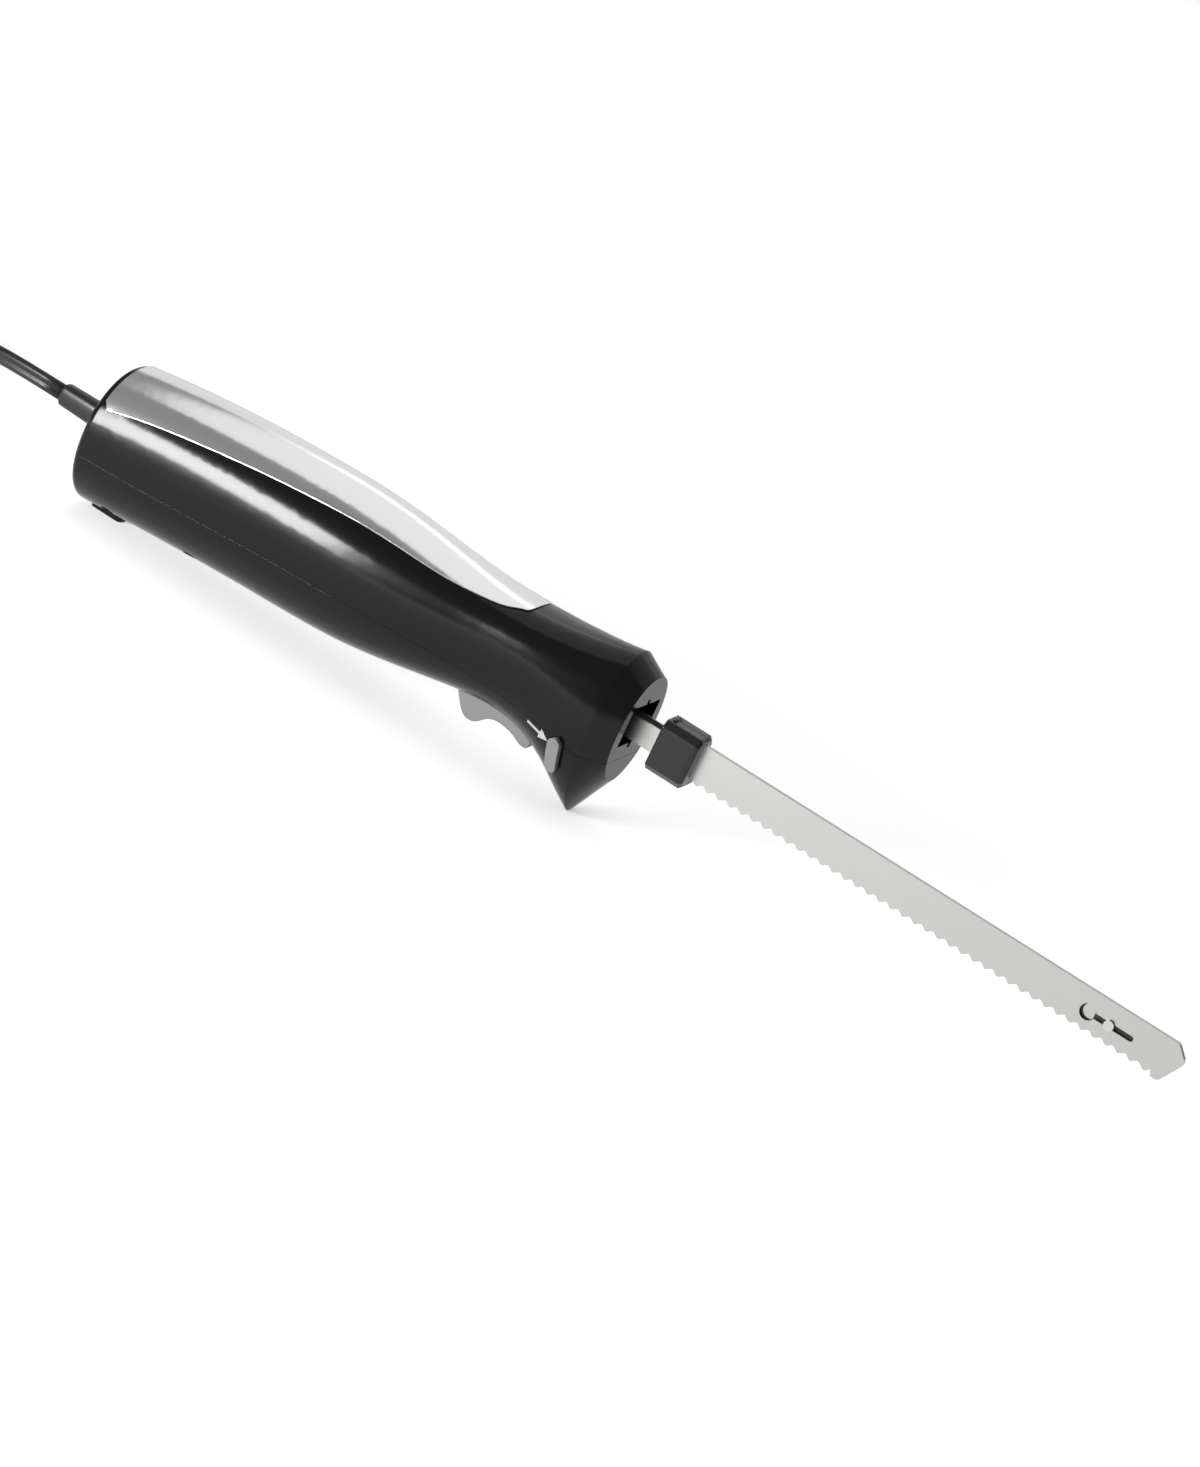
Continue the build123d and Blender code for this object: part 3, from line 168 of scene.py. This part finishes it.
LOOKS = {
    "housing_black": dict(
        colour=(0.003, 0.003, 0.0032), roughness=0.16, specular=0.25, grain=0.02, round_edge=0.0003),
    "trim_chrome": dict(
        colour=(0.8, 0.805, 0.81), roughness=0.16, metallic=1.0, grain=0.01, round_edge=0.0004),
    "cord_rubber": dict(
        colour=(0.008, 0.008, 0.008), roughness=0.36, specular=0.4, grain=0.1, round_edge=0.0005),
    "nylon_black": dict(colour=(0.02, 0.02, 0.02), roughness=0.5, grain=0.1),
    "capacitor_yellow": dict(colour=(0.6, 0.42, 0.06), roughness=0.5, grain=0.1),
    "lead_insulation": dict(colour=(0.28, 0.03, 0.02), roughness=0.4, grain=0.1),
    "screw_steel": dict(colour=(0.5, 0.5, 0.5), roughness=0.3, metallic=1.0, grain=0.05),
    "tie_black": dict(colour=(0.012, 0.012, 0.012), roughness=0.5, grain=0.1),
    "brass_pin": dict(colour=(0.72, 0.6, 0.36), roughness=0.25, metallic=1.0, grain=0.03),
    "nylon_natural": dict(colour=(0.75, 0.73, 0.66), roughness=0.45, grain=0.1),
    "bronze_bush": dict(colour=(0.5, 0.33, 0.16), roughness=0.4, metallic=1.0, grain=0.1),
    "core_steel": dict(colour=(0.3, 0.31, 0.33), roughness=0.4, metallic=1.0, grain=0.1),
    "copper_wire": dict(colour=(0.5, 0.16, 0.06), roughness=0.3, metallic=1.0, grain=0.1),
    "carbon_black": dict(colour=(0.02, 0.02, 0.022), roughness=0.6, grain=0.1),
    "spring_steel": dict(colour=(0.55, 0.55, 0.56), roughness=0.25, metallic=1.0, grain=0.05),
    "shaft_steel": dict(colour=(0.58, 0.57, 0.55), roughness=0.25, metallic=1.0, grain=0.03),
    "shuttle_black": dict(colour=(0.015, 0.015, 0.015), roughness=0.4, grain=0.1),
    "blade_steel": dict(
        colour=(0.51, 0.505, 0.49), roughness=0.3, metallic=1.0, grain=0.06, scale=900.0, stretch=0.04),
    "guard_black": dict(
        colour=(0.008, 0.008, 0.008), roughness=0.24, specular=0.45, grain=0.05, round_edge=0.001),
    "button_grey": dict(colour=(0.2, 0.2, 0.203), roughness=0.38, grain=0.08, round_edge=0.0006),
    "print_grey": dict(colour=(0.45, 0.45, 0.45), roughness=0.5),
    "floor_paint": dict(colour=(0.93, 0.93, 0.93), roughness=0.9, specular=0.1),
}
MATERIALS = {name: make_material(name, **look) for name, look in LOOKS.items()}


# The shade inside the near blade's keyhole, painted dark on the far blade's face behind it: two bars
# along the slot, and a crescent, which is the round end less the circle where light comes in
SLOT_MIDDLE = (0.2126, 0.0424)
SLOT_HALF = (0.0080, 0.0014)
ROUND_MIDDLE = (0.2018, 0, 0.0424)
ROUND_RADIUS = 0.0036
LIT_MIDDLE = (0.2028, 0, 0.0434)
LIT_RADIUS = 0.0029
SHADE_COLOUR = (0.012, 0.012, 0.01, 1)
INNER_FACE_Y = -0.5

# A mix node's colour sockets, whose names its other sockets share
MIX_FIRST = 6
MIX_SECOND = 7
MIX_RESULT = 2


def math_node(tree, operation, a, b=0.0):
    """The output of a sum on two numbers or sockets."""
    node = tree.nodes.new("ShaderNodeMath")
    node.operation = operation
    for socket, value in zip(node.inputs, (a, b)):
        if isinstance(value, float):
            socket.default_value = value
        else:
            tree.links.new(value, socket)
    return node.outputs[0]


def distance_in_plane(tree, place, middle):
    """Distance from a point, seen square on to the blade's side."""
    flat = tree.nodes.new("ShaderNodeVectorMath")
    flat.operation = "MULTIPLY"
    flat.inputs[1].default_value = (1, 0, 1)
    tree.links.new(place, flat.inputs[0])
    gap = tree.nodes.new("ShaderNodeVectorMath")
    gap.operation = "DISTANCE"
    gap.inputs[1].default_value = middle
    tree.links.new(flat.outputs["Vector"], gap.inputs[0])
    return gap.outputs["Value"]


def shade_slot(material):
    """Paints the keyhole's shade into the far blade's colour, on faces that look at the near blade."""
    tree = material.node_tree
    shader = tree.nodes["Principled BSDF"]
    coordinates = tree.nodes.new("ShaderNodeTexCoord")
    place = coordinates.outputs["Object"]
    split = tree.nodes.new("ShaderNodeSeparateXYZ")
    tree.links.new(place, split.inputs[0])
    facing = tree.nodes.new("ShaderNodeSeparateXYZ")
    tree.links.new(coordinates.outputs["Normal"], facing.inputs[0])
    inner_face = math_node(tree, "LESS_THAN", facing.outputs["Y"], INNER_FACE_Y)
    bar = 1.0
    for axis, middle, half in zip(("X", "Z"), SLOT_MIDDLE, SLOT_HALF):
        off = math_node(tree, "ABSOLUTE", math_node(tree, "SUBTRACT", split.outputs[axis], middle))
        bar = math_node(tree, "MULTIPLY", math_node(tree, "LESS_THAN", off, half), bar)
    inside = math_node(tree, "LESS_THAN", distance_in_plane(tree, place, ROUND_MIDDLE), ROUND_RADIUS)
    unlit = math_node(tree, "GREATER_THAN", distance_in_plane(tree, place, LIT_MIDDLE), LIT_RADIUS)
    shade = math_node(tree, "MAXIMUM", bar, math_node(tree, "MULTIPLY", inside, unlit))
    shade = math_node(tree, "MULTIPLY", shade, inner_face)
    # Painted shade: inside the mask the far blade's colour turns dark and stops being metallic
    mix = tree.nodes.new("ShaderNodeMix")
    mix.data_type = "RGBA"
    tree.links.new(shade, mix.inputs["Factor"])
    mix.inputs[MIX_FIRST].default_value = shader.inputs["Base Color"].default_value
    mix.inputs[MIX_SECOND].default_value = SHADE_COLOUR
    tree.links.new(mix.outputs[MIX_RESULT], shader.inputs["Base Color"])
    tree.links.new(math_node(tree, "SUBTRACT", 1.0, shade), shader.inputs["Metallic"])


def dress_nodes():
    """Gives each CAD node the material of its slot, and the far blade its own, with painted shade."""
    for entry in frame["record"]["subparts"]:
        node = frame["nodes"][entry["node"]]
        node.data.materials.clear()
        node.data.materials.append(MATERIALS[entry["material_slot"]])
    far_steel = make_material("blade_steel_far", **LOOKS["blade_steel"])
    shade_slot(far_steel)
    far_blade = frame["nodes"]["left_blade"]
    far_blade.data.materials.clear()
    far_blade.data.materials.append(far_steel)


# The cord: its route, listed, then the tied hank as (steps in from the outermost fold, layer up)
CORD_WIDTH = 0.007
CORD_LOBE = 0.00195
CORD_WAIST = 0.0013
CORD_Z = 0.0323
RELIEF_END_X = -0.26725
CORD_ROUTE = [
    (RELIEF_END_X, 0, CORD_Z),
    (-0.302, 0, CORD_Z),
    (-0.324, 0.011, 0.024),
    (-0.343, 0.031, 0.0095),
    (-0.365, 0.03925, 0.0045),
    (-0.386, 0.03925, 0.0045)]
HANK_PITCH = 0.00775
HANK_OUTER = 0.0315
HANK_RUN = 0.056
HANK_TAIL = 0.040
HANK_RISE = 0.0117
HANK_PLACES = ((0, 0), (0, 0), (1, 0), (1, 1), (0, 1), (0, 2), (1, 2))
POINTS_PER_FOLD = 10
CURVE_STEPS = 6
CURVE_ORDER = 3
LEAST_STEP = CORD_LOBE / 10

# Each lobe of the cord's section: an arc from LOBE_START, in degrees
LOBE_POINTS = 13
LOBE_START = -30
LOBE_STEP = 20


def run_points(a, b):
    """Control points of a run of the hank that starts and ends straight."""
    third = (b.x - a.x) / 3
    return [a, Vector((a.x + third, a.y, a.z)), Vector((b.x - third, b.y, b.z))]


def hank_points():
    """Control points of the hank: straight runs with a half turn after each, then a tail."""
    here = Vector(CORD_ROUTE[-1])
    front_x = here.x
    back_x = front_x - HANK_RUN
    low = here.z
    half_step = math.pi / POINTS_PER_FOLD / 2
    points = []
    for i, (step, layer) in enumerate(HANK_PLACES):
        side = -1 if i % 2 else 1
        x = front_x if i % 2 else back_x
        reach = HANK_OUTER - step * HANK_PITCH
        z = low + layer * HANK_PITCH
        points += run_points(here, Vector((x, side * reach, z)))
        wide = reach / math.cos(half_step)
        points.append(Vector((x, side * reach, z)))
        for k in range(POINTS_PER_FOLD):
            turn = (2 * k + 1) * half_step
            points.append(Vector((x - side * wide * math.sin(turn), side * wide * math.cos(turn), z)))
        here = Vector((x, -side * reach, z))
    end = here + Vector((HANK_TAIL, 0, HANK_RISE))
    points += run_points(here, end)
    points.append(end)
    return [tuple(p) for p in points[1:]]


def spline_points(points):
    """Points along the smooth NURBS line that has these control points."""
    data = bpy.data.curves.new("cord_line", "CURVE")
    data.dimensions = "3D"
    data.resolution_u = CURVE_STEPS
    spline = data.splines.new("NURBS")
    spline.points.add(len(points) - 1)
    for target, point in zip(spline.points, points):
        target.co = (*point, 1)
    spline.order_u = CURVE_ORDER
    spline.use_endpoint_u = True
    line = bpy.data.objects.new("cord_line", data)
    mesh = bpy.data.meshes.new_from_object(line)
    found = [v.co.copy() for v in mesh.vertices]
    bpy.data.meshes.remove(mesh)
    bpy.data.objects.remove(line)
    bpy.data.curves.remove(data)
    kept = [found[0]]
    for p in found[1:]:
        if (p - kept[-1]).length > LEAST_STEP:
            kept.append(p)
    return kept


def twin_profile():
    """The cord's section: two round lobes, one above the other, with a shallow groove between."""
    offset = CORD_WIDTH / 2 - CORD_LOBE
    ring = []
    for side in (1, -1):
        for k in range(LOBE_POINTS):
            turn = math.radians(LOBE_STEP * k + LOBE_START)
            across = side * CORD_LOBE * math.cos(turn)
            along = side * (offset + CORD_LOBE * math.sin(turn))
            ring.append((across, along))
        ring.append((-side * CORD_WAIST, 0))
    return ring


def sweep(name, path, profile):
    """A closed tube along path, with the profile's second axis kept upright."""
    verts = []
    for i, p in enumerate(path):
        ahead = path[min(i + 1, len(path) - 1)]
        behind = path[max(i - 1, 0)]
        forward = (ahead - behind).normalized()
        across = forward.cross(Vector((0, 0, 1))).normalized()
        upright = across.cross(forward)
        for a, b in profile:
            verts.append(p + across * a + upright * b)
    piece = add_piece(name, verts, ring_faces(len(path), len(profile)))
    smooth(piece)
    return piece


def make_cord():
    """The flat twin cord, from the strain relief through the tied hank to the plug."""
    path = spline_points(CORD_ROUTE + hank_points())
    flex = sweep("cord_flex", path, twin_profile())
    flex.data.materials.append(MATERIALS["cord_rubber"])
    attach(flex, "housing")
    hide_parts("cord", "cord_coil")


# The strain relief: a smooth sleeve outside the rear wall, (Y, Z) at each end, and a flange inside
RELIEF_LENGTH = 0.027
RELIEF_END_SIZE = (0.0074, 0.0094)
RELIEF_ROOT_SIZE = (0.0086, 0.0106)
RELIEF_ROUND = 0.0017
RELIEF_FLANGE = 0.0022
RELIEF_SHARP = 50
ROUND_STEPS = 5
OVAL_POINTS = 40
OVAL_POWER = 0.7


def oval_ring(x, size):
    """A rounded oblong across the cord, as a ring of points."""
    ring = []
    for k in range(OVAL_POINTS):
        turn = 2 * math.pi * k / OVAL_POINTS
        across, up = math.cos(turn), math.sin(turn)
        y = math.copysign(abs(across) ** OVAL_POWER, across) * size[0] / 2
        z = math.copysign(abs(up) ** OVAL_POWER, up) * size[1] / 2
        ring.append((x, y, CORD_Z + z))
    return ring


def make_relief():
    """Smooth strain relief with a rounded end."""
    low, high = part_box("strain_relief")
    rings = []
    for k in range(ROUND_STEPS + 1):
        turn = math.pi / 2 * k / ROUND_STEPS
        inset = 2 * RELIEF_ROUND * (1 - math.sin(turn))
        size = (RELIEF_END_SIZE[0] - inset, RELIEF_END_SIZE[1] - inset)
        rings.append(oval_ring(low[0] + RELIEF_ROUND * (1 - math.cos(turn)), size))
    flange_x = high[0] - RELIEF_FLANGE
    flange_size = (high[1] - low[1], high[2] - low[2])
    rings.append(oval_ring(low[0] + RELIEF_LENGTH, RELIEF_ROOT_SIZE))
    rings.append(oval_ring(flange_x, RELIEF_ROOT_SIZE))
    rings.append(oval_ring(flange_x, flange_size))
    rings.append(oval_ring(high[0], flange_size))
    verts = [v for ring in rings for v in ring]
    sleeve = add_piece("relief_sleeve", verts, ring_faces(len(rings), OVAL_POINTS))
    smooth(sleeve, flat_ends=2)
    sleeve.data.set_sharp_from_angle(angle=math.radians(RELIEF_SHARP))
    sleeve.data.materials.append(MATERIALS["cord_rubber"])
    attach(sleeve, "housing")
    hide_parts("strain_relief")


# The tie: a band round four strands, given as (y, z) of their middles
TIE_STRANDS = ((0.035375, 0.0045), (0.027625, 0.0045), (0.027625, 0.01225), (0.027625, 0.02))
TIE_REACH = (0.0044, 0.00365)
TIE_THICKNESS = 0.0008
TIE_ROUND = 0.0006
TIE_POINTS = 24


def band_points(grow):
    """Points round each strand that the band holds."""
    found = []
    for y, z in TIE_STRANDS:
        for k in range(TIE_POINTS):
            turn = 2 * math.pi * k / TIE_POINTS
            across = (TIE_REACH[0] + grow) * math.cos(turn)
            up = (TIE_REACH[1] + grow) * math.sin(turn)
            found.append(Vector((y + across, z + up)))
    return found


def make_tie():
    """Soft band with rounded edges that holds the hank."""
    low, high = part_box("cord_tie")
    outer = convex_hull_2d(band_points(0))
    shoulder = TIE_THICKNESS - TIE_ROUND / 2
    rings = (
        (low[0], 0), (low[0], shoulder), (low[0] + TIE_ROUND, TIE_THICKNESS),
        (high[0] - TIE_ROUND, TIE_THICKNESS), (high[0], shoulder), (high[0], 0))
    verts = []
    for x, grow in rings:
        found = band_points(grow)
        verts += [(x, found[i].x, found[i].y) for i in outer]
    tie = add_piece("hank_tie", verts, ring_faces(len(rings), len(outer), looped=True))
    smooth(tie)
    tie.data.materials.append(MATERIALS["tie_black"])
    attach(tie, "housing")
    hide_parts("cord_tie")


# The arrow printed on the near side: its tail and tip in the photograph, and its sizes
ARROW_PIXELS = ((527.5, 720.4), (547, 740.8))
ARROW_HEAD = 0.0042
ARROW_HEAD_HALF = 0.00231
ARROW_STROKE = 0.0011
ARROW_TIP_SHARE = 0.2
PRINT_LIFT = 0.00008
PRINT_STEPS = 10
PRINT_ACROSS = (1, 0.5, 0, -0.5, -1)
PRINT_FROM_Y = -0.1


def tree_of(node):
    mesh = frame["nodes"][node].data
    return BVHTree.FromPolygons([v.co for v in mesh.vertices], [p.vertices for p in mesh.polygons])


def first_hit(start, direction, trees):
    """The nearest point and normal that a ray meets."""
    hits = [tree.ray_cast(start, direction) for tree in trees]
    hits = [hit for hit in hits if hit[0] is not None]
    nearest = min(hits, key=lambda hit: hit[3])
    return nearest[0], nearest[1]


def seen_at(pixel, trees):
    """The point on the knife that the camera sees at a pixel of the photograph."""
    camera = bpy.context.scene.camera
    turn = camera.matrix_world.to_3x3()
    ray = Vector((
        (pixel[0] - IMAGE_SIZE[0] / 2) / FOCAL_PIXELS,
        (IMAGE_SIZE[1] / 2 - pixel[1]) / FOCAL_PIXELS,
        -1))
    return first_hit(camera.matrix_world.translation, (turn @ ray).normalized(), trees)[0]


def lay_strip(start, end, half_start, half_end, trees, verts, faces):
    """A printed stroke from start to end, in X-Z, as small faces that follow the surface."""
    along = (end - start).normalized()
    over = Vector((-along.y, along.x))
    first = len(verts)
    for i in range(PRINT_STEPS + 1):
        share = i / PRINT_STEPS
        middle = start.lerp(end, share)
        half = half_start + (half_end - half_start) * share
        for side in PRINT_ACROSS:
            place = middle + over * half * side
            point, normal = first_hit(Vector((place.x, PRINT_FROM_Y, place.y)), Vector((0, 1, 0)), trees)
            verts.append(point + normal * PRINT_LIFT)
    count = len(PRINT_ACROSS)
    for i in range(PRINT_STEPS):
        for k in range(count - 1):
            near = first + i * count + k
            far = near + count
            faces.append((near, near + 1, far + 1, far))


def make_arrow():
    """Plain light arrow on the near side, printed on the housing."""
    trees = [tree_of("upper_housing"), tree_of("lower_housing")]
    tail, head = (seen_at(pixel, trees) for pixel in ARROW_PIXELS)
    start = Vector((tail.x, tail.z))
    tip = Vector((head.x, head.z))
    neck = tip - (tip - start).normalized() * ARROW_HEAD
    half = ARROW_STROKE / 2
    verts = []
    faces = []
    lay_strip(start, neck, half, half, trees, verts, faces)
    lay_strip(neck, tip, ARROW_HEAD_HALF, half * ARROW_TIP_SHARE, trees, verts, faces)
    arrow = add_piece("release_arrow", verts, faces)
    arrow.data.materials.append(MATERIALS["print_grey"])
    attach(arrow, "housing")


# Stage, light and world; each lamp: place, what it points at, its sides in metres, its watts
FLOOR_HALF = 30
FLOOR_GLOW = 0.45
WORLD_STRENGTH = 0.28
LAMPS = {
    "overhead": ((-0.25, 0.8, 1.35), (-0.25, 0.8, 0), (1.8, 2.3), 9.0),
    "back_panel": ((-0.6, 2.6, 1.1), (-0.05, 0, 0.05), (4.0, 2.0), 14.0),
    "flank_box": ((-0.7, -1.0, 0.24), (-0.2, 0, 0.045), (0.42, 0.34), 19.0),
}


def seen_strength(tree, strength):
    """A strength that only camera, glossy and transmission rays meet."""
    path = tree.nodes.new("ShaderNodeLightPath")
    seen = math_node(tree, "MAXIMUM", path.outputs["Is Camera Ray"], path.outputs["Is Glossy Ray"])
    seen = math_node(tree, "MAXIMUM", seen, path.outputs["Is Transmission Ray"])
    return math_node(tree, "MULTIPLY", seen, strength)


def make_stage():
    """A wide pale floor, a little brighter to the camera than its paint, so that it shows white."""
    half = FLOOR_HALF
    corners = [(-half, -half, 0), (half, -half, 0), (half, half, 0), (-half, half, 0)]
    floor = add_piece("floor", corners, [(0, 1, 2, 3)])
    paint = MATERIALS["floor_paint"]
    tree = paint.node_tree
    shader = tree.nodes["Principled BSDF"]
    shader.inputs["Emission Color"].default_value = (1, 1, 1, 1)
    tree.links.new(seen_strength(tree, FLOOR_GLOW), shader.inputs["Emission Strength"])
    floor.data.materials.append(paint)


def area_light(name, place, target, size, power):
    data = bpy.data.lights.new(name, "AREA")
    data.shape = "RECTANGLE"
    data.size, data.size_y = size
    data.energy = power
    light = bpy.data.objects.new(name, data)
    bpy.context.scene.collection.objects.link(light)
    light.location = place
    light.rotation_euler = (Vector(target) - Vector(place)).to_track_quat("-Z", "Y").to_euler()


def make_lights():
    for name, lamp in LAMPS.items():
        area_light(name, *lamp)
    world = bpy.data.worlds.new("world")
    world.use_nodes = True
    bpy.context.scene.world = world
    background = world.node_tree.nodes["Background"]
    background.inputs["Color"].default_value = (1, 1, 1, 1)
    background.inputs["Strength"].default_value = WORLD_STRENGTH


bpy.context.scene.view_settings.view_transform = "Standard"
make_camera()
dress_nodes()
make_tie()
make_cord()
make_relief()
make_arrow()
make_stage()
make_lights()
bpy.context.view_layer.update()
